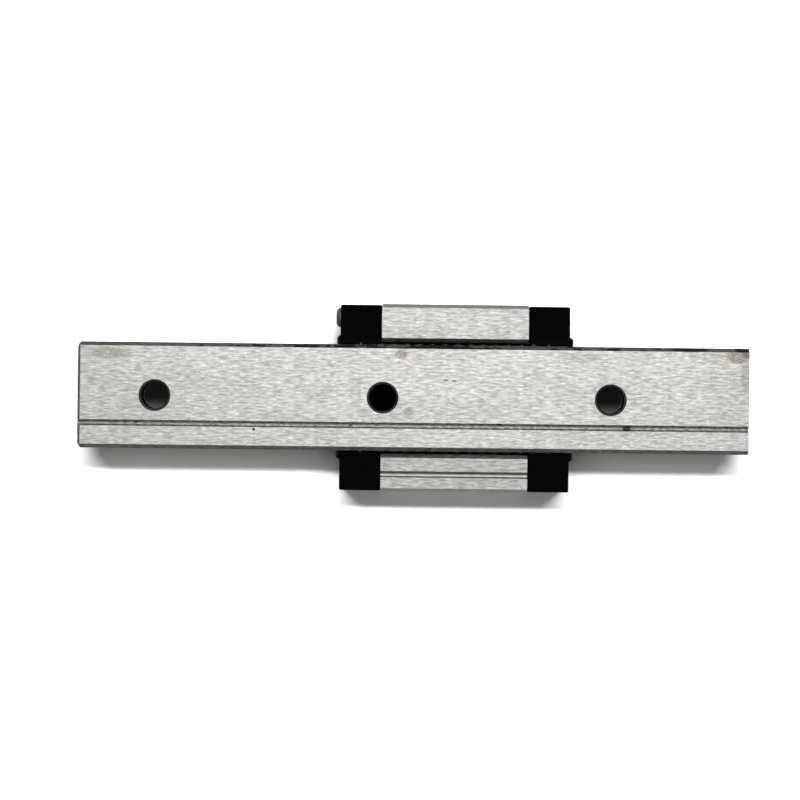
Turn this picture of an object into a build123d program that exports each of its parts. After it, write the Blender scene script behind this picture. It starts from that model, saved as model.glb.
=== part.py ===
from build123d import *

import os

os.makedirs("parts", exist_ok=True)

# A miniature wide linear guide: a ball-bearing carriage on its rail. Millimetres.
# +X runs along the rail, +Y points to the side with the reference grooves, +Z up.
# The origin is the middle of the rail's underside.
# "front" is the +X end, "left" is the +Y side.

# ---- Rail ------------------------------------------------------------------------
rail_length = 88.4
rail_width = 14.0
rail_height = 5.2
rail_base_chamfer = 0.52
rail_top_chamfer = 0.3
rail_end_chamfer = 0.4  # on the rear end only: the front end is sawn off plain

bolt_pitch = 30.0
bolt_end_distance = 10.2  # rear end to the first hole
bolt_count = 3
bolt_hole_radius = 1.75
counterbore_radius = 3.0
counterbore_depth = 3.2
bolt_mouth_chamfer = 0.35

rail_reference_y = 3.66  # groove along the underside
rail_reference_width = 0.8
rail_reference_depth = 0.3

# ---- Carriage block --------------------------------------------------------------
carriage_x = 5.55  # middle of the carriage at rest
block_length = 19.5
carriage_width = 25.0
carriage_base_z = 2.0
carriage_top_z = 9.0
block_edge_chamfer = 0.5

channel_half_width = 7.45
channel_top_z = 5.5
channel_mouth_chamfer = 0.5
channel_corner_radius = 0.3

mount_spacing_x = 10.0  # four M3 holes in the top
mount_spacing_y = 19.0
mount_hole_radius = 1.5
mount_hole_depth = 3.0
mount_mouth_radius = 1.65

block_reference_y = 10.15  # groove along the underside of the left skirt
block_reference_width = 0.85
block_reference_depth = 0.25

# ---- Balls and their paths -------------------------------------------------------
ball_radius = 0.794  # 1/16 inch balls
balls_per_circuit = 29
row_y = 7.185  # between the rail's side and the channel's wall
row_z = 3.6
return_y = 10.4
raceway_radius = 0.82
return_hole_radius = 0.93
turn_passage_radius = 0.86

turn_radius = (return_y - row_y) / 2
turn_y = (return_y + row_y) / 2
guide_radius = turn_radius - 0.15
guide_height = 2.3
pocket_gap = 0.05  # round the return guide in its pocket

band_thickness = 0.2
band_height = 0.6
band_y = row_y - ball_radius - 0.06 - band_thickness / 2
band_leg_depth = 2.8  # middle of the bent leg, out from the block's end face
band_leg_end_y = 8.6
band_slot_height = 1.0
band_slot_floor_y = 6.0
band_leg_gap = 0.02
band_bend_radius = 0.3

# ---- End plates ------------------------------------------------------------------
plate_length = 5.5
plate_width = 24.66
plate_base_z = 2.15
plate_top_z = 8.8
plate_edge_radius = 0.25
plate_shoulder_radius = 0.6
plate_channel_half_width = 7.3

screw_y = 10.4
screw_z = 6.75
screw_radius = 0.8
screw_head_radius = 1.4
screw_head_height = 1.0
screw_reach = 2.4  # into the block
screw_recess_radius = 1.5
screw_recess_depth = 1.1
screw_hole_radius = 0.9
tapped_hole_radius = 0.82
tapped_hole_depth = 2.6
screw_head_rounding = 0.3
cross_length = 1.7
cross_width = 0.4
cross_depth = 0.55

port_y = 10.7
port_z = row_z
port_radius = 0.6
port_depth = 3.9
plug_shank_radius = 0.58
plug_shank_length = 2.5
plug_head_radius = 1.35
plug_head_height = 0.62
plug_head_rounding = 0.55
plug_slot_width = 0.4
plug_slot_depth = 0.25

# ---- End seals -------------------------------------------------------------------
seal_half_width = 8.2
seal_top_z = 6.45
seal_depth = 1.5  # in the end plate's recess
seal_lip_length = 0.45  # out of the end plate's face
seal_lip_gap = 0.05  # to the rail
seal_edge_chamfer = 0.25

# Planes on the block's two end faces, looking outwards: local x across, local y up.
# The rear one is the front one turned half round, so both ends share one drawing.
end_planes = {
    "front": Plane((carriage_x + block_length / 2, 0, 0), x_dir=(0, 1, 0), z_dir=(1, 0, 0)),
    "rear": Plane((carriage_x - block_length / 2, 0, 0), x_dir=(0, -1, 0), z_dir=(-1, 0, 0)),
}
sides = {"left": 1, "right": -1}
screw_centres = [(-screw_y, screw_z), (screw_y, screw_z)]
port_centre = (port_y, port_z)


def draw_upright(half_width, base_z, top_z, mode=Mode.ADD):
    """A rectangle in the open sketch, centred across, between two heights."""
    with Locations((0, base_z)):
        Rectangle(2 * half_width, top_z - base_z, align=(Align.CENTER, Align.MIN), mode=mode)


def draw_round_groove(y, face_z, width, depth):
    """The circle that cuts a groove of this width and depth in a face that points down."""
    radius = (width**2 / 4 + depth**2) / (2 * depth)
    with Locations((y, face_z + depth - radius)):
        Circle(radius)


def finish(part, label):
    """Labels a finished piece and writes its file."""
    part.label = label
    export_step(part, f"parts/{label}.step")


def make_rail():
    """The bar with its ball grooves, the bands' slots and three counterbored holes."""
    rear_face = Plane.YZ.offset(-rail_length / 2)
    first_bolt_x = bolt_end_distance - rail_length / 2
    bolt_seats = [(first_bolt_x + i * bolt_pitch, 0, rail_height) for i in range(bolt_count)]
    with BuildPart() as rail:
        with BuildSketch(rear_face) as bar:
            draw_upright(rail_width / 2, 0, rail_height)
            chamfer(bar.vertices().group_by(Axis.Y)[0], rail_base_chamfer)
            chamfer(bar.vertices().group_by(Axis.Y)[-1], rail_top_chamfer)
        extrude(amount=rail_length)
        chamfer(rail.faces().sort_by(Axis.X)[0].edges(), rail_end_chamfer)
        with Locations(*bolt_seats):
            CounterBoreHole(bolt_hole_radius, counterbore_radius, counterbore_depth)
        base = rail.faces().sort_by(Axis.Z)[0]
        chamfer(base.edges().filter_by(GeomType.CIRCLE), bolt_mouth_chamfer)
        with BuildSketch(rear_face):
            with Locations((-row_y, row_z), (row_y, row_z)):
                Circle(raceway_radius)
                Rectangle(2 * (row_y - band_slot_floor_y), band_slot_height)
            draw_round_groove(rail_reference_y, 0, rail_reference_width, rail_reference_depth)
        extrude(amount=rail_length, mode=Mode.SUBTRACT)
    return rail.part


def make_carriage_block():
    """The steel body: channel, ball grooves, return holes and its tapped holes."""
    rear_face = Plane.YZ.offset(carriage_x - block_length / 2)
    with BuildPart() as block:
        with BuildSketch(rear_face) as saddle:
            draw_upright(carriage_width / 2, carriage_base_z, carriage_top_z)
            chamfer(saddle.vertices(), block_edge_chamfer)
            draw_upright(channel_half_width, carriage_base_z, channel_top_z, Mode.SUBTRACT)
            corners = saddle.vertices().filter_by_position(
                Axis.X, -channel_half_width, channel_half_width
            )
            chamfer(corners.group_by(Axis.Y)[0], channel_mouth_chamfer)
            fillet(corners.group_by(Axis.Y)[-1], channel_corner_radius)
        extrude(amount=block_length)
        with BuildSketch(rear_face):
            with Locations((-row_y, row_z), (row_y, row_z)):
                Circle(raceway_radius)
            with Locations((-return_y, row_z), (return_y, row_z)):
                Circle(return_hole_radius)
            draw_round_groove(
                block_reference_y, carriage_base_z, block_reference_width, block_reference_depth
            )
        extrude(amount=block_length, mode=Mode.SUBTRACT)
        with Locations((carriage_x, 0, carriage_top_z)):
            with GridLocations(mount_spacing_x, mount_spacing_y, 2, 2):
                CounterSinkHole(mount_hole_radius, mount_mouth_radius, mount_hole_depth, 90)
        for end_plane in end_planes.values():
            with BuildSketch(end_plane):
                with Locations(*screw_centres):
                    Circle(tapped_hole_radius)
            extrude(amount=-tapped_hole_depth, mode=Mode.SUBTRACT)
    return block.part


def turn_centres(end_plane):
    """Where the two upright turning axes of one end stand."""
    return [Vector(end_plane.origin.X, side * turn_y, 0) for side in sides.values()]


def cut_ball_turns(end_plane):
    """Cuts the U-turn passages out of the open part, as rings round the turning axes."""
    for centre in turn_centres(end_plane):
        with BuildSketch(Plane.YZ.offset(end_plane.origin.X)) as passage:
            with Locations((centre.Y + turn_radius, row_z)):
                Circle(turn_passage_radius)
        revolve(passage.sketch, axis=Axis(centre, (0, 0, 1)), mode=Mode.SUBTRACT)


def make_end_plate(end_plane, has_port):
    """The moulding that turns the balls round and holds the seal and the screws."""
    outer_face = end_plane.offset(plate_length)
    with BuildPart() as plate:
        with BuildSketch(end_plane) as outline:
            draw_upright(plate_width / 2, plate_base_z, plate_top_z)
            fillet(outline.vertices().group_by(Axis.Y)[-1], plate_shoulder_radius)
        extrude(amount=plate_length)
        fillet(plate.edges().filter_by(Axis.Z), plate_edge_radius)
        with BuildSketch(end_plane):
            draw_upright(plate_channel_half_width, plate_base_z, channel_top_z)
        extrude(amount=plate_length, mode=Mode.SUBTRACT)
        with BuildSketch(outer_face):
            draw_upright(seal_half_width, plate_base_z, seal_top_z)
        extrude(amount=-seal_depth, mode=Mode.SUBTRACT)
        with BuildSketch(Plane.XY.offset(row_z - guide_height / 2 - pocket_gap)):
            with Locations(*turn_centres(end_plane)):
                Circle(guide_radius + pocket_gap)
        extrude(amount=guide_height + 2 * pocket_gap, mode=Mode.SUBTRACT)
        cut_ball_turns(end_plane)
        with BuildSketch(end_plane.offset(band_leg_depth)):
            with Locations((0, row_z)):
                Rectangle(2 * (band_leg_end_y + band_leg_gap), band_height + 2 * band_leg_gap)
        extrude(amount=band_thickness / 2 + band_leg_gap, both=True, mode=Mode.SUBTRACT)
        for radius, depth in (
            (screw_recess_radius, screw_recess_depth),
            (screw_hole_radius, plate_length),
        ):
            with BuildSketch(outer_face):
                with Locations(*screw_centres):
                    Circle(radius)
            extrude(amount=-depth, mode=Mode.SUBTRACT)
        if has_port:
            with BuildSketch(outer_face):
                with Locations(port_centre):
                    Circle(port_radius)
            extrude(amount=-port_depth, mode=Mode.SUBTRACT)
    return plate.part


def make_end_seal(end_plane):
    """The rubber wiper: a body in the plate's recess, and a lip that follows the rail."""
    outer_face = end_plane.offset(plate_length)
    lip_half_width = rail_width / 2 + seal_lip_gap
    with BuildPart() as seal:
        with BuildSketch(outer_face):
            draw_upright(seal_half_width, plate_base_z, seal_top_z)
        extrude(amount=seal_lip_length)
        lip_face = seal.faces().sort_by(Axis(outer_face.origin, outer_face.z_dir))[-1]
        chamfer(lip_face.edges(), seal_edge_chamfer)
        with BuildSketch(outer_face):
            draw_upright(lip_half_width, plate_base_z, rail_height + seal_lip_gap)
            with Locations((-row_y, row_z), (row_y, row_z)):
                Circle(raceway_radius - seal_lip_gap, mode=Mode.SUBTRACT)
        extrude(amount=seal_lip_length, mode=Mode.SUBTRACT)
        with BuildSketch(outer_face):
            draw_upright(seal_half_width, plate_base_z, seal_top_z)
            draw_upright(plate_channel_half_width, plate_base_z, channel_top_z, Mode.SUBTRACT)
        extrude(amount=-seal_depth)
    return seal.part


def make_return_guide(end_plane, side):
    """The half spool that the balls roll round inside an end plate."""
    with BuildPart() as guide:
        with BuildSketch(Plane.XY.offset(row_z - guide_height / 2)):
            with Locations((end_plane.origin.X, side * turn_y)):
                Circle(guide_radius)
        extrude(amount=guide_height)
        split(bisect_by=end_plane, keep=Keep.TOP)
        cut_ball_turns(end_plane)
    return guide.part


def make_retaining_band(side):
    """The steel strip in the rail's slot, its two legs bent into the end plates."""
    half_run = block_length / 2 + band_leg_depth
    rear_x = carriage_x - half_run
    front_x = carriage_x + half_run
    with BuildPart() as band:
        with BuildSketch(Plane.XY.offset(row_z - band_height / 2)):
            with BuildLine():
                FilletPolyline(
                    (rear_x, side * band_leg_end_y),
                    (rear_x, side * band_y),
                    (front_x, side * band_y),
                    (front_x, side * band_leg_end_y),
                    radius=band_bend_radius,
                )
            trace(line_width=band_thickness)
        extrude(amount=band_height)
    return band.part


def ball_centres(side):
    """Evenly spaced points round one circuit: loaded row, turn, return hole, turn."""
    rear_x = carriage_x - block_length / 2
    front_x = carriage_x + block_length / 2
    with BuildLine(Plane.XY.offset(row_z)) as circuit:
        loaded_row = Line((rear_x, side * row_y), (front_x, side * row_y))
        front_turn = ThreePointArc(
            loaded_row @ 1, (front_x + turn_radius, side * turn_y), (front_x, side * return_y)
        )
        return_row = Line(front_turn @ 1, (rear_x, side * return_y))
        ThreePointArc(return_row @ 1, (rear_x - turn_radius, side * turn_y), loaded_row @ 0)
    path = circuit.wire()
    return [path.position_at(i / balls_per_circuit) for i in range(balls_per_circuit)]


def ball_stretch(centre):
    """Which stretch of its circuit a ball is in."""
    if abs(centre.X - carriage_x) > block_length / 2:
        return "turning"
    return "loaded" if abs(centre.Y) < turn_y else "return"


def make_balls(centres):
    """A group of separate balls."""
    with BuildPart() as balls:
        with Locations(*centres):
            Sphere(ball_radius)
    return balls.part


def make_end_plate_screws(end_plane):
    """Two pan-head screws through one end plate into the block."""
    outwards = Axis(end_plane.origin, end_plane.z_dir)
    head_seat = end_plane.offset(plate_length - screw_recess_depth)
    with BuildPart() as screws:
        for radius, reach in (
            (screw_head_radius, screw_head_height),
            (screw_radius, screw_recess_depth - plate_length - screw_reach),
        ):
            with BuildSketch(head_seat):
                with Locations(*screw_centres):
                    Circle(radius)
            extrude(amount=reach)
        fillet(screws.faces().group_by(outwards)[-1].edges(), screw_head_rounding)
        with BuildSketch(head_seat.offset(screw_head_height)):
            with Locations(*screw_centres):
                Rectangle(cross_length, cross_width)
                Rectangle(cross_width, cross_length)
        extrude(amount=-cross_depth, mode=Mode.SUBTRACT)
    return screws.part


def make_lubrication_plug(end_plane):
    """The round-headed screw that closes the rear end plate's port."""
    outwards = Axis(end_plane.origin, end_plane.z_dir)
    outer_face = end_plane.offset(plate_length)
    with BuildPart() as plug:
        for radius, reach in (
            (plug_head_radius, plug_head_height),
            (plug_shank_radius, -plug_shank_length),
        ):
            with BuildSketch(outer_face):
                with Locations(port_centre):
                    Circle(radius)
            extrude(amount=reach)
        fillet(plug.faces().group_by(outwards)[-1].edges(), plug_head_rounding)
        with BuildSketch(outer_face.offset(plug_head_height)):
            with Locations(port_centre):
                Rectangle(2 * plug_head_radius, plug_slot_width)
        extrude(amount=-plug_slot_depth, mode=Mode.SUBTRACT)
    return plug.part


finish(make_rail(), "rail")
finish(make_carriage_block(), "carriage_block")

for end, end_plane in end_planes.items():
    finish(make_end_plate(end_plane, end == "rear"), f"end_plate_{end}")
    finish(make_end_seal(end_plane), f"end_seal_{end}")
    finish(make_end_plate_screws(end_plane), f"end_plate_screws_{end}")
    for side_name, side in sides.items():
        finish(make_return_guide(end_plane, side), f"return_guide_{end}_{side_name}")
finish(make_lubrication_plug(end_planes["rear"]), "lubrication_plug")

for side_name, side in sides.items():
    finish(make_retaining_band(side), f"retaining_band_{side_name}")
    centres = ball_centres(side)
    for stretch in ("loaded", "return", "turning"):
        group = [centre for centre in centres if ball_stretch(centre) == stretch]
        finish(make_balls(group), f"{stretch}_balls_{side_name}")
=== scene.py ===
from math import cos, radians, sin, tau

import bmesh
import bpy
from mathutils import Matrix, Vector


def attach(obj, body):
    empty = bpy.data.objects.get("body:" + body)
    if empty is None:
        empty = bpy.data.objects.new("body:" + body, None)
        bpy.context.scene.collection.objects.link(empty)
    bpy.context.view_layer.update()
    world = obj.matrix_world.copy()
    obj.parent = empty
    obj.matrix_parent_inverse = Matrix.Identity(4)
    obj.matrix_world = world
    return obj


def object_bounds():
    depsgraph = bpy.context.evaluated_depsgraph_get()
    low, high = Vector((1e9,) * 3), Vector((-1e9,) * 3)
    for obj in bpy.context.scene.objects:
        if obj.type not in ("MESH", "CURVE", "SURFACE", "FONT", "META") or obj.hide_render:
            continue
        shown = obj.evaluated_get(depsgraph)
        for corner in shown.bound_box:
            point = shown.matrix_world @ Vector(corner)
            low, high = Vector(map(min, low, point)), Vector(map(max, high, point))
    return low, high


# A miniature wide linear guide, seen from below, with the carriage's mounting face on a pale table.
# Everything is in metres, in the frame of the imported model; MM turns millimetres into metres.
MM = 0.001

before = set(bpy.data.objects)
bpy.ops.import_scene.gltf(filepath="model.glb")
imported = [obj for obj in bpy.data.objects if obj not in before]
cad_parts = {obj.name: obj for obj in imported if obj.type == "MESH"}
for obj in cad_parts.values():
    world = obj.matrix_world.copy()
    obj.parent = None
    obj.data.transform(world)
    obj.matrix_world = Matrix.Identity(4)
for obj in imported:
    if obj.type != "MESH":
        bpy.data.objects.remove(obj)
cad_low, cad_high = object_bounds()

# Sizes of the CAD model that the finishes and the threads follow, in millimetres.
RAIL_HALF_LENGTH = 44.2
RAIL_HALF_WIDTH = 7.0
RAIL_TOP = 5.2
RAIL_PITCH = 30.0
RAIL_HOLE_X = -34.0
BOLT_HOLE_RADIUS = 1.75
BOLT_MOUTH_RADIUS = 2.1
COUNTERBORE_RADIUS = 3.0
COUNTERBORE_DEPTH = 3.2
COUNTERBORE_Z = RAIL_TOP - COUNTERBORE_DEPTH
RAIL_GROOVE_Y = 3.66
BALL_ROW_Z = 3.6
CARRIAGE_X = 5.55
BLOCK_HALF_WIDTH = 12.5
BLOCK_BOTTOM = 2.0
BLOCK_TOP = 9.0
BLOCK_GROOVE_Y = 10.15
CHANNEL_HALF_WIDTH = 7.45
TAPPED_X = 5.0
TAPPED_Y = 9.5
TAPPED_RADIUS = 1.5
TAPPED_DEPTH = 3.0


# ---- Shader building -------------------------------------------------------------

class Surface:
    """One material's node tree. Positions in it are millimetres in the frame of the object at rest."""

    def __init__(self, name):
        self.material = bpy.data.materials.new(name)
        self.material.use_nodes = True
        self.tree = self.material.node_tree
        self.shader = self.tree.nodes["Principled BSDF"]
        self.place = self.scaled(self.node("ShaderNodeTexCoord").outputs["Object"], (1000, 1000, 1000))
        self.x, self.y, self.z = self.split(self.place)
        normal = self.node("ShaderNodeNewGeometry").outputs["True Normal"]
        self.nx, self.ny, self.nz = self.split(normal)

    def node(self, kind, **settings):
        made = self.tree.nodes.new(kind)
        for key, value in settings.items():
            setattr(made, key, value)
        return made

    def feed(self, socket, value):
        """Links an output to an input, or sets the input to a plain value."""
        if isinstance(value, bpy.types.NodeSocket):
            self.tree.links.new(value, socket)
        else:
            socket.default_value = value

    def split(self, vector):
        node = self.node("ShaderNodeSeparateXYZ")
        self.feed(node.inputs[0], vector)
        return node.outputs

    def scaled(self, vector, factors):
        node = self.node("ShaderNodeVectorMath", operation="MULTIPLY")
        self.feed(node.inputs[0], vector)
        node.inputs[1].default_value = factors
        return node.outputs[0]

    def math(self, operation, a, b=0.0, c=0.0):
        node = self.node("ShaderNodeMath", operation=operation)
        self.feed(node.inputs[0], a)
        self.feed(node.inputs[1], b)
        self.feed(node.inputs[2], c)
        return node.outputs[0]

    def size(self, value):
        return self.math("ABSOLUTE", value)

    def both(self, a, b):
        return self.math("MULTIPLY", a, b)

    def either(self, a, b):
        return self.math("MAXIMUM", a, b)

    def ramp(self, value, start, end, low=0.0, high=1.0):
        """A smooth step: low up to start, high from end on."""
        node = self.node("ShaderNodeMapRange", interpolation_type="SMOOTHSTEP")
        self.feed(node.inputs["Value"], value)
        for name, number in (("From Min", start), ("From Max", end), ("To Min", low), ("To Max", high)):
            node.inputs[name].default_value = number
        return node.outputs["Result"]

    def noise(self, stretch, detail=2.0, roughness=0.5, seed=0.0):
        """Noise from 0 to 1; stretch is how many features there are to a millimetre along X, Y and Z."""
        node = self.node("ShaderNodeTexNoise", noise_dimensions="4D")
        self.feed(node.inputs["Vector"], self.scaled(self.place, stretch))
        node.inputs["W"].default_value = seed
        node.inputs["Scale"].default_value = 1.0
        node.inputs["Detail"].default_value = detail
        node.inputs["Roughness"].default_value = roughness
        return node.outputs["Fac"]

    def mix(self, factor, a, b):
        """Colour a turning into colour b."""
        node = self.node("ShaderNodeMix", data_type="RGBA")
        self.feed(node.inputs["Factor"], factor)
        self.feed(node.inputs[6], a)
        self.feed(node.inputs[7], b)
        return node.outputs[2]

    def blend(self, factor, a, b):
        """Number a turning into number b."""
        node = self.node("ShaderNodeMix", data_type="FLOAT")
        self.feed(node.inputs["Factor"], factor)
        self.feed(node.inputs[2], a)
        self.feed(node.inputs[3], b)
        return node.outputs[0]

    def openness(self, reach_mm):
        """How open the surroundings are, from 0 in a closed nook to 1."""
        node = self.node("ShaderNodeAmbientOcclusion", samples=16)
        node.inputs["Distance"].default_value = reach_mm * MM
        return node.outputs["AO"]

    def edges(self, radius_mm):
        """1 on the sharp edges of the shape, 0 on its flats."""
        bevel = self.node("ShaderNodeBevel", samples=4)
        bevel.inputs["Radius"].default_value = radius_mm * MM
        geometry = self.node("ShaderNodeNewGeometry")
        dot = self.node("ShaderNodeVectorMath", operation="DOT_PRODUCT")
        self.feed(dot.inputs[0], bevel.outputs[0])
        self.feed(dot.inputs[1], geometry.outputs["Normal"])
        return self.ramp(dot.outputs["Value"], 0.995, 0.93)

    def bump(self, height, depth_mm, normal=None):
        """Relief from a height of 0 to 1, depth_mm deep."""
        node = self.node("ShaderNodeBump")
        node.inputs["Strength"].default_value = 1.0
        node.inputs["Distance"].default_value = depth_mm * MM
        self.feed(node.inputs["Height"], height)
        if normal is not None:
            self.feed(node.inputs["Normal"], normal)
        return node.outputs[0]

    def set(self, **inputs):
        """Sets the shader's inputs by name, with _ for the spaces."""
        for name, value in inputs.items():
            self.feed(self.shader.inputs[name.replace("_", " ")], value)
        return self.material


def grey(value, warmth=0.0):
    """A neutral colour, a little warmer where warmth is above 0."""
    return (value * (1 + warmth), value, value * (1 - 1.6 * warmth), 1.0)


# ---- Materials -------------------------------------------------------------------

# Marks on the rail's underside and its chamfers: middle in X and Y, half length, half width, and how
# strong (0 to 1). Smudges are patchy and brownish, specks nearly black.
SMUDGES = [
    (-39.8, -5.5, 3.3, 0.9, 0.60),
    (-36.4, -3.8, 0.7, 0.7, 0.35),
    (-1.6, -5.75, 1.0, 0.65, 1.0),
    (-0.6, 1.85, 0.8, 0.7, 0.55),
    (-6.4, 2.1, 1.1, 0.7, 0.45),
    (-4.0, 2.6, 2.5, 0.4, 0.30),
    (-7.0, -2.1, 0.5, 0.6, 0.45),
    (-7.0, 0.2, 0.3, 2.3, 0.30),
    (40.5, -5.8, 4.5, 1.0, 0.30),
    (42.8, -5.9, 2.0, 1.1, 1.0),
    (43.9, -3.2, 1.0, 2.4, 0.60),
    (22.0, -5.6, 3.2, 0.8, 0.30),
]
SPECKS = [
    (-20.9, 4.35, 0.26, 0.20, 1.0),
    (-8.2, 3.7, 0.35, 0.15, 0.9),
    (-36.4, 3.6, 0.30, 0.12, 0.8),
    (4.3, -2.4, 0.40, 0.16, 0.7),
    (5.4, -2.3, 0.40, 0.15, 0.7),
    (11.3, 3.36, 0.50, 0.14, 0.9),
    (28.2, 3.75, 0.75, 0.40, 0.9),
    (36.4, -6.76, 3.2, 0.39, 1.0),
    (43.3, -6.76, 1.4, 0.39, 1.0),
    (44.0, -6.4, 1.0, 0.9, 0.50),
    (43.9, -6.5, 0.6, 0.5, 0.55),
    (-7.35, 5.0, 0.06, 1.0, 0.25),
]


def lengthwise_grain(s, seed):
    """The mottled lay of surface grinding, long in X: a grey value, and its height from 0 to 1."""
    mottle = s.ramp(s.noise((0.7, 4.0, 4.0), detail=4.0, roughness=0.64, seed=seed), 0.28, 0.72)
    dashes = s.ramp(s.noise((1.1, 7.0, 7.0), detail=1.0, seed=seed + 3), 0.54, 0.74)
    scratches = s.ramp(s.noise((0.22, 9.0, 9.0), detail=2.0, seed=seed + 5), 0.50, 0.72)
    coarse = s.blend(mottle, 0.36, 0.79)
    coarse = s.blend(s.both(dashes, 0.8), coarse, 0.98)
    coarse = s.blend(s.both(scratches, 0.30), coarse, 0.40)
    lines = s.ramp(s.noise((0.16, 6.0, 6.0), detail=4.0, roughness=0.7, seed=seed + 31), 0.3, 0.7)
    fine = s.blend(lines, 0.50, 0.68)
    fine = s.blend(s.both(dashes, 0.15), fine, 0.8)
    underneath = s.ramp(s.nz, -0.5, -0.9)
    value = s.blend(underneath, s.blend(0.35, fine, coarse), coarse)
    return value, s.blend(0.5, mottle, dashes)


def marks(s, spots, soft, seed):
    """Where the rail's underside is marked, from 0 to 1. soft is how far noise shifts the outlines."""
    ragged = s.math("MULTIPLY", s.noise((2.6, 6.0, 6.0), detail=5.0, roughness=0.75, seed=seed), soft)
    below = s.ramp(s.z, 0.65, 0.6)
    total = 0.0
    for x, y, half_length, half_width, depth in spots:
        along = s.math("DIVIDE", s.math("SUBTRACT", s.x, x), half_length)
        across = s.math("DIVIDE", s.math("SUBTRACT", s.y, y), half_width)
        reach = s.math("ADD", s.both(along, along), s.both(across, across))
        inside = s.ramp(s.math("ADD", reach, ragged), 0.6 + soft, 0.3 + soft * 0.5)
        total = s.either(total, s.both(inside, depth))
    return s.both(total, below)


def tinted(s, value, warmth=0.012):
    """A grey number as a slightly warm colour."""
    node = s.node("ShaderNodeCombineColor")
    s.feed(node.inputs[0], s.math("MULTIPLY", value, 1 + warmth))
    s.feed(node.inputs[1], value)
    s.feed(node.inputs[2], s.math("MULTIPLY", value, 1 - 3 * warmth))
    return node.outputs[0]


def steel(name, seed, ground, polished, cut, dark, cut_range, shine=1.0, stains=False):
    """Hardened steel, ground bright on its flats and left with a darker skin elsewhere.

    ground, polished, cut and dark take the surface and return masks: the ground flats, the smooth ball
    grooves, what a coarse wheel cut, and what lies deep inside, which gets painted shade: near-black colour
    and no sheen. cut_range is how dark and how light the coarse cuts are, shine scales the ground flats,
    and stains adds the marks and the dirt of handling."""
    s = Surface(name)
    grain, height = lengthwise_grain(s, seed)
    cloud = s.ramp(s.noise((0.10, 0.3, 0.3), detail=2.0, seed=seed + 7), 0.35, 0.65)
    bright = s.math("MULTIPLY", grain, s.blend(cloud, 0.93 * shine, 1.03 * shine))
    fleck = s.ramp(s.noise((1.2, 3.0, 3.0), detail=4.0, roughness=0.65, seed=seed + 11), 0.3, 0.75)
    skin = s.blend(fleck, 0.13, 0.25)
    grease = s.noise((0.30, 0.8, 0.8), detail=4.0, roughness=0.7, seed=seed + 13)
    if stains:
        middle_part = s.ramp(s.size(s.math("SUBTRACT", s.x, 4.0)), 34.0, 22.0)
        handled = s.both(middle_part, s.ramp(s.y, -5.0, -6.0))
        grease = s.math("ADD", grease, s.math("MULTIPLY_ADD", handled, 0.16, -0.05))
    grime = s.both(s.ramp(grease, 0.57, 0.63), s.ramp(s.z, 3.2, 2.6))
    skin = s.blend(grime, skin, 0.03)
    cut_noise = s.noise((1.6, 7.0, 7.0), detail=3.0, seed=seed + 19)
    cut_grey = s.blend(s.ramp(cut_noise, 0.3, 0.7), *cut_range)
    polished_mask, cut_mask, painted_shade_mask, ground_mask = polished(s), cut(s), dark(s), ground(s)
    at_ends = s.ramp(s.size(s.x), RAIL_HALF_LENGTH - 0.1, RAIL_HALF_LENGTH - 0.05)
    sawn_mask = s.both(s.ramp(s.size(s.nx), 0.9, 0.97), at_ends)
    strokes = s.ramp(s.noise((1.0, 0.5, 8.0), detail=4.0, roughness=0.6, seed=seed + 37), 0.3, 0.7)
    value = s.blend(ground_mask, skin, bright)
    value = s.blend(sawn_mask, value, s.blend(strokes, 0.30, 0.52))
    value = s.blend(cut_mask, value, cut_grey)
    value = s.blend(polished_mask, value, s.blend(fleck, 0.30, 0.40))
    worn = s.both(s.edges(0.04), s.ramp(s.noise((1.5, 4, 4), seed=seed + 17), 0.40, 0.62))
    value = s.blend(s.both(worn, 0.14), value, 0.6)
    # Painted shade: the deep hollows from the dark mask turn near black.
    value = s.blend(painted_shade_mask, value, 0.005)
    colour = tinted(s, value)
    if stains:
        patchy = s.noise((2.2, 5.5, 5.5), detail=3.0, roughness=0.7, seed=seed + 25)
        smudged = s.both(marks(s, SMUDGES, 0.9, seed + 23), s.ramp(patchy, 0.64, 0.42, 0.35, 1.0))
        colour = s.mix(smudged, colour, (0.27, 0.255, 0.215, 1.0))
        colour = s.mix(marks(s, SPECKS, 0.5, seed + 29), colour, grey(0.03, 0.05))
    rough = s.blend(ground_mask, s.blend(fleck, 0.52, 0.40), s.blend(height, 0.42, 0.32))
    rough = s.blend(polished_mask, rough, 0.34)
    # Painted shade also takes the metal sheen off the deep hollows.
    s.set(
        Base_Color=colour,
        Metallic=s.math("SUBTRACT", 1.0, painted_shade_mask),
        Specular_IOR_Level=s.blend(painted_shade_mask, 0.5, 0.0),
        Roughness=s.blend(painted_shade_mask, rough, 0.6),
        Normal=s.bump(s.blend(ground_mask, fleck, height), 0.003),
    )
    return s.material


def between(s, value, low, high, soft=0.03):
    """1 where a value lies between two bounds."""
    return s.both(s.ramp(value, low - soft, low + soft), s.ramp(value, high + soft, high - soft))


def near(s, value, middle_value, reach, soft=0.03):
    """1 where a value lies within reach of a middle."""
    return s.ramp(s.size(s.math("SUBTRACT", value, middle_value)), reach + soft, reach - soft)


def bolt_radius(s):
    """Distance from the axis of the nearest bolt hole of the rail."""
    turned = s.math("ADD", s.x, RAIL_PITCH * 0.5 - RAIL_HOLE_X)
    along = s.math("SUBTRACT", s.math("FLOORED_MODULO", turned, RAIL_PITCH), RAIL_PITCH * 0.5)
    return s.math("SQRT", s.math("ADD", s.both(along, along), s.both(s.y, s.y)))


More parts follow.
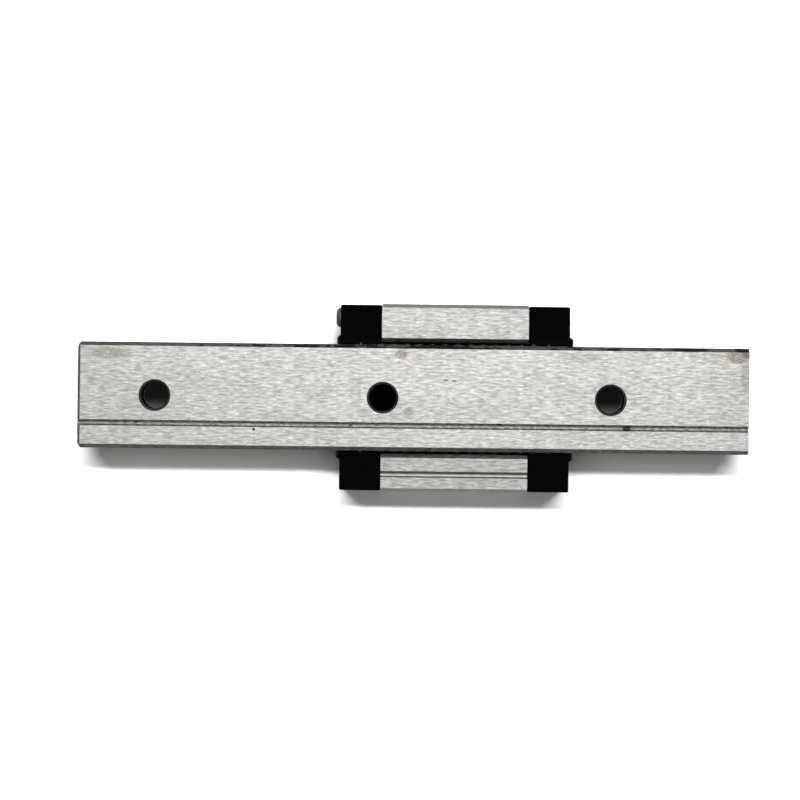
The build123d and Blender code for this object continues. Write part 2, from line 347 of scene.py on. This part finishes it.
def rail_ground(s):
    """The rail's underside, top and sides, and its counterbores."""
    flat = s.ramp(s.size(s.nz), 0.9, 0.97)
    outside = s.either(s.ramp(s.z, 0.1, 0.05), s.ramp(s.z, RAIL_TOP - 0.1, RAIL_TOP - 0.05))
    in_counterbore = s.ramp(bolt_radius(s), COUNTERBORE_RADIUS + 0.1, COUNTERBORE_RADIUS + 0.05)
    counterbore = s.both(in_counterbore, s.ramp(s.z, COUNTERBORE_Z - 0.1, COUNTERBORE_Z - 0.05))
    at_sides = s.ramp(s.size(s.y), RAIL_HALF_WIDTH - 0.1, RAIL_HALF_WIDTH)
    side = s.both(s.ramp(s.size(s.ny), 0.9, 0.97), at_sides)
    return s.either(s.either(s.both(flat, outside), counterbore), side)


def rail_polished(s):
    """The two ball grooves."""
    depth = between(s, s.size(s.y), 6.33, 6.96)
    return s.both(depth, between(s, s.size(s.math("SUBTRACT", s.z, BALL_ROW_Z)), 0.5, 0.82, 0.01))


def rail_cut(s):
    """The reference groove in the underside."""
    return s.both(near(s, s.y, RAIL_GROOVE_Y, 0.40, 0.01), between(s, s.z, 0.02, 0.5, 0.01))


def rail_painted_shade(s):
    """Painted shade: the walls of the bolt holes and the slots behind the ball grooves go near black, and
    the holes' mouths are darkened halfway.

    The slots' open ends in the rail's end faces stay light."""
    radius = bolt_radius(s)
    in_bore = s.ramp(radius, BOLT_HOLE_RADIUS + 0.09, BOLT_HOLE_RADIUS + 0.05)
    bore = s.both(in_bore, between(s, s.z, 0.25, COUNTERBORE_Z - 0.03, 0.01))
    slot = s.both(between(s, s.size(s.y), 5.5, 6.33), near(s, s.z, BALL_ROW_Z, 0.6))
    slot = s.both(slot, s.ramp(s.size(s.nx), 0.999, 0.99))
    in_mouth = s.ramp(radius, BOLT_MOUTH_RADIUS + 0.06, BOLT_MOUTH_RADIUS + 0.02)
    mouth = s.both(in_mouth, between(s, s.z, 0.01, 0.3, 0.005))
    return s.either(s.either(bore, slot), s.math("MULTIPLY", mouth, 0.5))


def block_ground(s):
    """The block's top, underside and sides, and the left chamfer of its channel's mouth."""
    flat = s.ramp(s.size(s.nz), 0.9, 0.97)
    underside = s.ramp(s.z, BLOCK_BOTTOM + 0.1, BLOCK_BOTTOM + 0.05)
    outside = s.either(underside, s.ramp(s.z, BLOCK_TOP - 0.1, BLOCK_TOP - 0.05))
    side = s.ramp(s.size(s.y), BLOCK_HALF_WIDTH - 0.1, BLOCK_HALF_WIDTH - 0.05)
    mouth_width = between(s, s.y, CHANNEL_HALF_WIDTH, CHANNEL_HALF_WIDTH + 0.55)
    left_mouth = s.both(mouth_width, s.ramp(s.z, BLOCK_BOTTOM + 0.6, BLOCK_BOTTOM + 0.5))
    return s.either(s.both(flat, outside), s.either(side, left_mouth))


def block_polished(s):
    """The reference groove in the left skirt."""
    return s.both(near(s, s.y, BLOCK_GROOVE_Y, 0.43, 0.01), between(s, s.z, BLOCK_BOTTOM + 0.02, 2.4, 0.01))


def block_cut(s):
    """The block's outer chamfers."""
    slope = s.ramp(s.size(s.nz), 0.9, 0.8)
    outermost = s.ramp(s.size(s.y), BLOCK_HALF_WIDTH - 0.6, BLOCK_HALF_WIDTH - 0.55)
    return s.both(slope, s.both(outermost, s.ramp(s.size(s.nx), 0.5, 0.4)))


def block_painted_shade(s):
    """Painted shade: the channel above its mouth and the ball grooves in it go near black, and the tapped
    holes most of the way.
    """
    channel_width = s.ramp(s.size(s.y), CHANNEL_HALF_WIDTH + 0.61, CHANNEL_HALF_WIDTH + 0.57)
    channel = s.both(channel_width, between(s, s.z, 2.6, 5.6))
    along = s.math("SUBTRACT", s.size(s.math("SUBTRACT", s.x, CARRIAGE_X)), TAPPED_X)
    across = s.math("SUBTRACT", s.size(s.y), TAPPED_Y)
    radius = s.math("SQRT", s.math("ADD", s.both(along, along), s.both(across, across)))
    in_hole = s.ramp(radius, TAPPED_RADIUS + 0.02, TAPPED_RADIUS - 0.02)
    tapped = s.both(in_hole, between(s, s.z, BLOCK_TOP - TAPPED_DEPTH + 0.1, BLOCK_TOP - 0.3))
    return s.either(channel, s.both(tapped, 0.8))


def moulded_plastic(name, seed):
    """Black glass-filled plastic with a faint mould texture."""
    s = Surface(name)
    speck = s.noise((9, 9, 9), detail=3.0, roughness=0.6, seed=seed)
    cloud = s.noise((0.6, 0.6, 0.6), detail=2.0, seed=seed + 2)
    rub = s.both(s.edges(0.08), s.ramp(s.noise((2, 2, 2), seed=seed + 5), 0.45, 0.65))
    colour = s.mix(cloud, grey(0.007), grey(0.013))
    colour = s.mix(s.both(rub, 0.5), colour, grey(0.03))
    s.set(
        Base_Color=colour,
        Roughness=s.blend(speck, 0.36, 0.55),
        Specular_IOR_Level=0.28,
        Normal=s.bump(speck, 0.008),
    )
    return s.material


def seal_rubber(name, seed):
    """Matt black rubber."""
    s = Surface(name)
    speck = s.noise((6, 6, 6), detail=4.0, roughness=0.7, seed=seed)
    s.set(
        Base_Color=s.mix(speck, grey(0.007), grey(0.016)),
        Roughness=s.blend(speck, 0.60, 0.80),
        Specular_IOR_Level=0.25,
        Normal=s.bump(speck, 0.01),
    )
    return s.material


def turned_steel(name, seed, low, high, smooth=0.28, coarse=0.42):
    """Small steel pieces: screws, plug and strips. low and high are the greys, smooth and coarse the
    roughnesses, that the grain runs between."""
    s = Surface(name)
    fine = s.noise((5, 14, 14), detail=3.0, seed=seed)
    cloud = s.ramp(s.noise((1.5, 1.5, 1.5), detail=3.0, seed=seed + 2), 0.35, 0.7)
    colour = s.mix(fine, grey(low, 0.01), grey(high, 0.02))
    colour = s.mix(s.both(cloud, 0.5), colour, grey(low * 0.6, 0.02))
    s.set(
        Base_Color=colour,
        Metallic=1.0,
        Roughness=s.blend(fine, smooth, coarse),
        Normal=s.bump(fine, 0.004),
    )
    return s.material


def shade_darkened_ball(name):
    """Bearing balls, far darker than bare steel and patchy in tone: painted shade for the narrow gap they
    are seen through.
    """
    s = Surface(name)
    ball_patches = s.noise((1.2, 1.2, 1.2), detail=3.0, seed=41)
    s.set(
        Base_Color=s.mix(ball_patches, grey(0.04), grey(0.10)),
        Metallic=1.0,
        Roughness=s.blend(ball_patches, 0.05, 0.12),
    )
    return s.material


def guide_plastic(name):
    """Natural white plastic of the ball return guides."""
    s = Surface(name)
    ball_patches = s.noise((1.5, 1.5, 1.5), detail=3.0, seed=51)
    colour = s.mix(ball_patches, (0.62, 0.60, 0.52, 1), (0.76, 0.74, 0.67, 1))
    s.set(Base_Color=colour, Roughness=s.blend(ball_patches, 0.35, 0.5))
    return s.material


def give(material, *nodes):
    """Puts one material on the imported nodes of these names."""
    for name in nodes:
        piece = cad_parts[name]
        piece.data.materials.clear()
        piece.data.materials.append(material)


def dress_frame():
    """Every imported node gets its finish. Returns the steel of the carriage's block."""
    rail_masks = (rail_ground, rail_polished, rail_cut, rail_painted_shade)
    give(steel("rail_steel", 1.0, *rail_masks, cut_range=(0.14, 0.50), stains=True), "rail")
    block_masks = (block_ground, block_polished, block_cut, block_painted_shade)
    block_steel = steel("block_steel", 2.0, *block_masks, cut_range=(0.34, 0.50), shine=0.86)
    give(block_steel, "carriage_block")
    plastic = moulded_plastic("black_plastic", 3.0)
    rubber = seal_rubber("black_rubber", 4.0)
    screw = turned_steel("screw_steel", 5.0, 0.32, 0.55)
    plug = turned_steel("plug_steel", 7.0, 0.20, 0.28, smooth=0.50, coarse=0.62)
    strip = turned_steel("strip_steel", 6.0, 0.45, 0.62)
    ball = shade_darkened_ball("ball_steel")
    white = guide_plastic("white_plastic")
    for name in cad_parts:
        if name == "lubrication_plug":
            give(plug, name)
        elif name.startswith("end_plate_screws"):
            give(screw, name)
        elif name.startswith("end_plate"):
            give(plastic, name)
        elif name.startswith("end_seal"):
            give(rubber, name)
        elif name.startswith("retaining_band"):
            give(strip, name)
        elif name.startswith("return_guide"):
            give(white, name)
        elif "_balls_" in name:
            give(ball, name)
    return block_steel


# ---- Screw threads ---------------------------------------------------------------

def add_thread(name, x, y, material):
    """The ridge of an M3 thread, a helix on the wall of one tapped hole of the block."""
    root, crest, pitch, steps_per_turn = TAPPED_RADIUS + 0.03, 1.24, 0.5, 40
    half_root, half_crest = 0.21, 0.035
    low, high = BLOCK_TOP - TAPPED_DEPTH + 0.15, BLOCK_TOP - 0.28
    profile = [(root, -half_root), (crest, -half_crest), (crest, half_crest), (root, half_root)]
    turns = (high - low) / pitch
    mesh = bpy.data.meshes.new(name)
    shape = bmesh.new()
    rings = []
    for step in range(int(turns * steps_per_turn) + 1):
        angle = tau * step / steps_per_turn
        rise = low + pitch * step / steps_per_turn
        ring = []
        for radius, up in profile:
            place = (x + radius * cos(angle), y + radius * sin(angle), rise + up)
            ring.append(shape.verts.new([value * MM for value in place]))
        rings.append(ring)
    for first, second in zip(rings, rings[1:]):
        for here in range(len(profile)):
            after = (here + 1) % len(profile)
            shape.faces.new((first[here], first[after], second[after], second[here]))
    shape.faces.new(list(reversed(rings[0])))
    shape.faces.new(rings[-1])
    bmesh.ops.recalc_face_normals(shape, faces=shape.faces)
    shape.to_mesh(mesh)
    shape.free()
    mesh.materials.append(material)
    thread = bpy.data.objects.new(name, mesh)
    bpy.context.scene.collection.objects.link(thread)
    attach(thread, "carriage")


def add_threads(material):
    """One thread in each of the four tapped holes of the carriage."""
    for end, x in (("rear", CARRIAGE_X - TAPPED_X), ("front", CARRIAGE_X + TAPPED_X)):
        for side, y in (("left", TAPPED_Y), ("right", -TAPPED_Y)):
            add_thread(f"mounting_thread_{end}_{side}", x, y, material)


# ---- Stage -----------------------------------------------------------------------

def map_range(tree, value, start, end, low, high):
    """A smooth step in a node tree: low at start, high at end."""
    node = tree.nodes.new("ShaderNodeMapRange")
    node.interpolation_type = "SMOOTHSTEP"
    for name, number in (("From Min", start), ("From Max", end), ("To Min", low), ("To Max", high)):
        node.inputs[name].default_value = number
    tree.links.new(value, node.inputs["Value"])
    return node.outputs["Result"]


def bench_shade(s):
    """How pale the bench under the rail is, with painted shade only in closed nooks."""
    return s.ramp(s.openness(30), 0.0, 0.2, 0.008, 0.86)


def table_shade(s):
    """How pale the table is, with painted shade: dark in nooks and under the rail, dimmer where the rail's
    shadow starts.
    """
    # Painted shade in nooks, from how closed the surroundings are.
    nook = s.ramp(s.openness(30), 0.2, 0.4, 0.008, 0.86)
    # Painted shadow: the table is dimmed beside the rail's left edge.
    beside = s.ramp(s.y, RAIL_HALF_WIDTH - 0.4, RAIL_HALF_WIDTH + 4.0, 0.40, 1.0)
    along_rail = s.ramp(s.size(s.x), RAIL_HALF_LENGTH + 1.5, RAIL_HALF_LENGTH - 1.0)
    open_table = s.both(nook, s.blend(s.both(s.ramp(s.y, 0.0, 1.0), along_rail), 1.0, beside))
    # Painted shade under the rail, where the table shows through the bolt holes.
    in_holes = s.ramp(s.y, 0.1, 1.8, 0.018, 0.12)
    within_width = s.ramp(s.size(s.y), RAIL_HALF_WIDTH - 0.6, RAIL_HALF_WIDTH - 1.0)
    within_length = s.ramp(s.size(s.x), RAIL_HALF_LENGTH - 1.5, RAIL_HALF_LENGTH - 2.5)
    under_rail = s.both(within_width, within_length)
    return s.blend(under_rail, open_table, in_holes)


def one_sided_floor(name, height, looks_up, shade):
    """A pale floor seen from one side only, which fades into the backdrop and lights nothing itself.

    shade takes its surface and returns how pale it is."""
    reach = 3.0
    fade_from, fade_to = 250, 900
    mesh = bpy.data.meshes.new(name)
    corners = [(x * reach, y * reach, height) for x, y in ((-1, -1), (1, -1), (1, 1), (-1, 1))]
    order = (0, 1, 2, 3) if looks_up else (3, 2, 1, 0)
    mesh.from_pydata(corners, [], [order])
    floor = bpy.data.objects.new(name, mesh)
    bpy.context.scene.collection.objects.link(floor)
    s = Surface(name)
    s.set(Base_Color=shade(s), Roughness=0.9, Specular_IOR_Level=0.0)
    length = s.node("ShaderNodeVectorMath", operation="LENGTH")
    s.feed(length.inputs[0], s.place)
    away = s.ramp(length.outputs["Value"], fade_from, fade_to)
    back = s.node("ShaderNodeNewGeometry").outputs["Backfacing"]
    mix = s.node("ShaderNodeMixShader")
    s.feed(mix.inputs[0], s.either(back, away))
    s.feed(mix.inputs[1], s.shader.outputs[0])
    s.feed(mix.inputs[2], s.node("ShaderNodeBsdfTransparent").outputs[0])
    s.feed(s.tree.nodes["Material Output"].inputs["Surface"], mix.outputs[0])
    mesh.materials.append(s.material)
    floor.visible_shadow = False
    floor.visible_diffuse = False
    floor.visible_glossy = False
    floor.visible_transmission = False
    return floor


def softbox(name, towards, distance, width, depth, power, lit=()):
    """A soft light towards the middle of the object, on everything or only on the pieces in lit.

    distance, width and depth are metres, power is watts."""
    light = bpy.data.lights.new(name, "AREA")
    light.shape = "RECTANGLE"
    light.size = width
    light.size_y = depth
    light.energy = power
    lamp = bpy.data.objects.new(name, light)
    bpy.context.scene.collection.objects.link(lamp)
    back = Vector(towards).normalized()
    lamp.location = middle + back * distance
    lamp.rotation_mode = "QUATERNION"
    lamp.rotation_quaternion = back.to_track_quat("Z", "Y")
    lamp.visible_camera = False
    if lit:
        receivers = bpy.data.collections.new(name)
        for piece in lit:
            receivers.objects.link(piece)
        lamp.light_linking.receiver_collection = receivers


def direction(tilt_degrees, turn_x=0.0):
    """A direction below the object, tilted off the vertical towards the right side."""
    tilt = radians(tilt_degrees)
    return (turn_x, -sin(tilt), -cos(tilt))


def light_stage(table):
    """Lights below for the underside and its table, and above for the top, in a pale room."""
    steels = [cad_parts[name] for name in ("rail", "carriage_block", "lubrication_plug")]
    softbox("table_light", direction(19.6, 0.02), 0.235, 0.25, 0.0224, 1.30, [table])
    softbox("table_fill", direction(0), 0.40, 0.8, 0.8, 0.85, [table])
    softbox("steel_light", direction(28, 0.04), 0.7, 0.5, 0.5, 1.66, steels)
    softbox("steel_fill", direction(0, 0.04), 0.7, 0.7, 0.8, 1.52, steels)
    softbox("key_above", (-0.35, -0.6, 0.9), 0.9, 0.5, 0.5, 3.6)
    softbox("fill_above", (0.8, 0.5, 0.8), 1.0, 0.6, 0.6, 1.6)
    world = bpy.data.worlds.new("pale_room")
    bpy.context.scene.world = world
    world.use_nodes = True
    tree = world.node_tree
    room = tree.nodes["Background"]
    room.inputs["Color"].default_value = grey(1.0)
    place = tree.nodes.new("ShaderNodeTexCoord")
    parts = tree.nodes.new("ShaderNodeSeparateXYZ")
    tree.links.new(place.outputs["Generated"], parts.inputs[0])
    tree.links.new(map_range(tree, parts.outputs["Z"], -0.7, 0.5, 0.05, 0.75), room.inputs["Strength"])
    seen = tree.nodes.new("ShaderNodeBackground")
    seen.inputs["Color"].default_value = grey(1.0)
    path = tree.nodes.new("ShaderNodeLightPath")
    mix = tree.nodes.new("ShaderNodeMixShader")
    tree.links.new(path.outputs["Is Camera Ray"], mix.inputs[0])
    tree.links.new(room.outputs[0], mix.inputs[1])
    tree.links.new(seen.outputs[0], mix.inputs[2])
    tree.links.new(mix.outputs[0], tree.nodes["World Output"].inputs["Surface"])


def place_camera():
    """The camera looks straight up at the rail's underside, with the reference grooves low in view."""
    distance = 194 * MM
    lens = 66.4
    foot = Vector((-1.71 * MM, 0.28 * MM, 0))
    roll = radians(0.66)
    right = Vector((cos(roll), -sin(roll), 0))
    up = Vector((-sin(roll), -cos(roll), 0))
    back = Vector((0, 0, -1))
    data = bpy.data.cameras.new("camera")
    data.lens = lens
    data.clip_start = MM
    data.clip_end = 20
    camera = bpy.data.objects.new("camera", data)
    bpy.context.scene.collection.objects.link(camera)
    turn = Matrix((right, up, back)).transposed()
    camera.matrix_world = Matrix.Translation(foot + back * distance) @ turn.to_4x4()
    bpy.context.scene.camera = camera


middle = (cad_low + cad_high) / 2
place_camera()
block_steel = dress_frame()
add_threads(block_steel)
one_sided_floor("bench_under_rail", cad_low.z - 0.02 * MM, True, bench_shade)
table = one_sided_floor("table_on_carriage", cad_high.z + 0.02 * MM, False, table_shade)
light_stage(table)
bpy.context.scene.view_settings.view_transform = "Standard"
